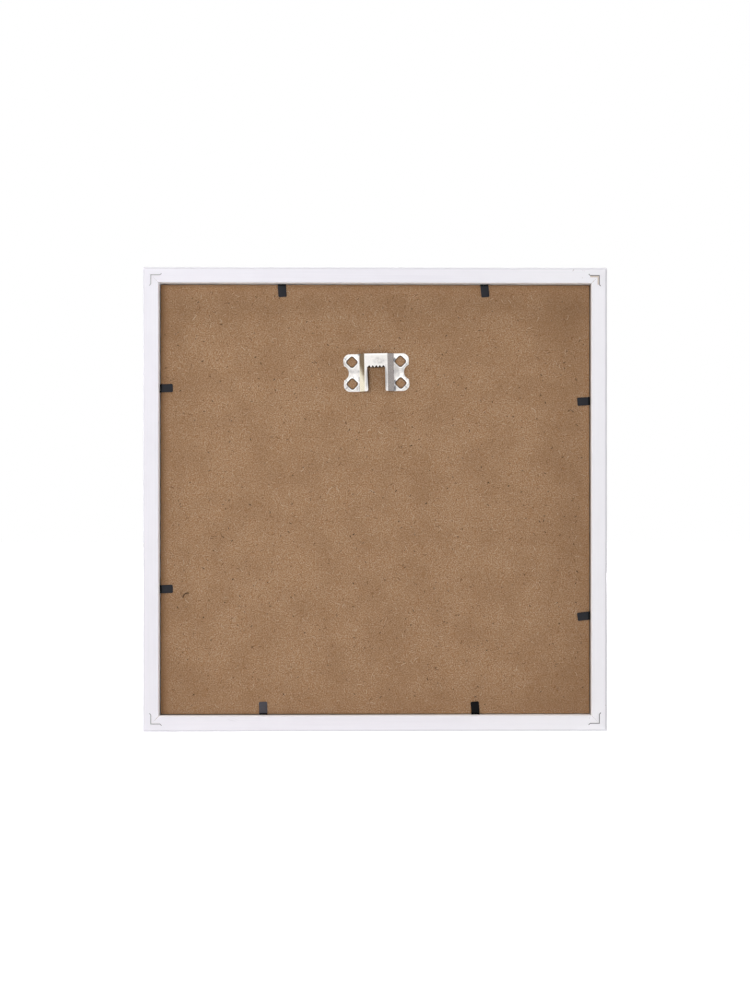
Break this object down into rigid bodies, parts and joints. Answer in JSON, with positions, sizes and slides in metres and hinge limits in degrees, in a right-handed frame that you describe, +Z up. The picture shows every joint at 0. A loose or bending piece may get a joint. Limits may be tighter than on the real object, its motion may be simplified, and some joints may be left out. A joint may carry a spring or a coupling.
{
  "type": "picture frame",
  "caption": "Square white frame for a baby's handprints: mitred rails, glass, window mat, print card and a hardboard back held by bendable tabs, with a sawtooth hanger.",
  "frame": {"origin": "on the wall plane, midway across the frame, at the height where the nail bears in the hanger's notches", "axes": "+Z up, +Y into the wall, so the front looks along -Y; +X to the right as seen from the front"},
  "size_m": [0.312, 0.018, 0.312],
  "materials": {
    "rail_foil": "satin white foil over fibreboard",
    "nail_steel": "bare rolled steel",
    "clear_glass": "clear float glass",
    "mat_board": "soft white mat board with a white core",
    "print_paper": "uncoated white card",
    "hardboard": "plain brown hardboard with loose fibres",
    "hanger_plate": "bright zinc plate",
    "tab_lacquer": "thin black lacquer on spring steel"
  },
  "bodies": {
    "frame": {"rail_top": "rail_foil", "rail_right": "rail_foil", "rail_bottom": "rail_foil", "rail_left": "rail_foil", "corner_v_nails": "nail_steel", "glazing": "clear_glass", "mat": "mat_board", "print_card": "print_paper", "back_board": "hardboard", "sawtooth_hanger": "hanger_plate", "tab_top_right_root": "tab_lacquer", "tab_top_left_root": "tab_lacquer", "tab_right_lower_root": "tab_lacquer", "tab_right_upper_root": "tab_lacquer", "tab_bottom_left_root": "tab_lacquer", "tab_bottom_right_root": "tab_lacquer", "tab_left_upper_root": "tab_lacquer", "tab_left_lower_root": "tab_lacquer"},
    "tab_top_right": {"tab_top_right_blade": "tab_lacquer"},
    "tab_top_left": {"tab_top_left_blade": "tab_lacquer"},
    "tab_right_lower": {"tab_right_lower_blade": "tab_lacquer"},
    "tab_right_upper": {"tab_right_upper_blade": "tab_lacquer"},
    "tab_bottom_left": {"tab_bottom_left_blade": "tab_lacquer"},
    "tab_bottom_right": {"tab_bottom_right_blade": "tab_lacquer"},
    "tab_left_upper": {"tab_left_upper_blade": "tab_lacquer"},
    "tab_left_lower": {"tab_left_lower_blade": "tab_lacquer"}
  },
  "joints": [
    {"name": "tab_top_right_bend", "type": "hinge", "parent": "frame", "child": "tab_top_right", "pos_m": [0.06321, -0.00645, 0.0545], "axis": [0.9987, 0, -0.0506], "range_deg": [0, 90]},
    {"name": "tab_top_left_bend", "type": "hinge", "parent": "frame", "child": "tab_top_left", "pos_m": [-0.07383, -0.00645, 0.0545], "axis": [0.9951, 0, -0.0993], "range_deg": [0, 90]},
    {"name": "tab_right_lower_bend", "type": "hinge", "parent": "frame", "child": "tab_right_lower", "pos_m": [0.1449, -0.00645, -0.15117], "axis": [-0.0419, 0, -0.9991], "range_deg": [0, 90]},
    {"name": "tab_right_upper_bend", "type": "hinge", "parent": "frame", "child": "tab_right_upper", "pos_m": [0.1449, -0.00645, -0.01537], "axis": [-0.0384, 0, -0.9993], "range_deg": [0, 90]},
    {"name": "tab_bottom_left_bend", "type": "hinge", "parent": "frame", "child": "tab_bottom_left", "pos_m": [-0.06784, -0.00645, -0.2353], "axis": [-0.9972, 0, 0.075], "range_deg": [0, 90]},
    {"name": "tab_bottom_right_bend", "type": "hinge", "parent": "frame", "child": "tab_bottom_right", "pos_m": [0.07577, -0.00645, -0.2353], "axis": [-0.9996, 0, 0.0279], "range_deg": [0, 90]},
    {"name": "tab_left_upper_bend", "type": "hinge", "parent": "frame", "child": "tab_left_upper", "pos_m": [-0.1449, -0.00645, -0.02371], "axis": [0.0698, 0, 0.9976], "range_deg": [0, 90]},
    {"name": "tab_left_lower_bend", "type": "hinge", "parent": "frame", "child": "tab_left_lower", "pos_m": [-0.14491, -0.00645, -0.16914], "axis": [0.1184, 0, 0.993], "range_deg": [0, 90]}
  ]
}
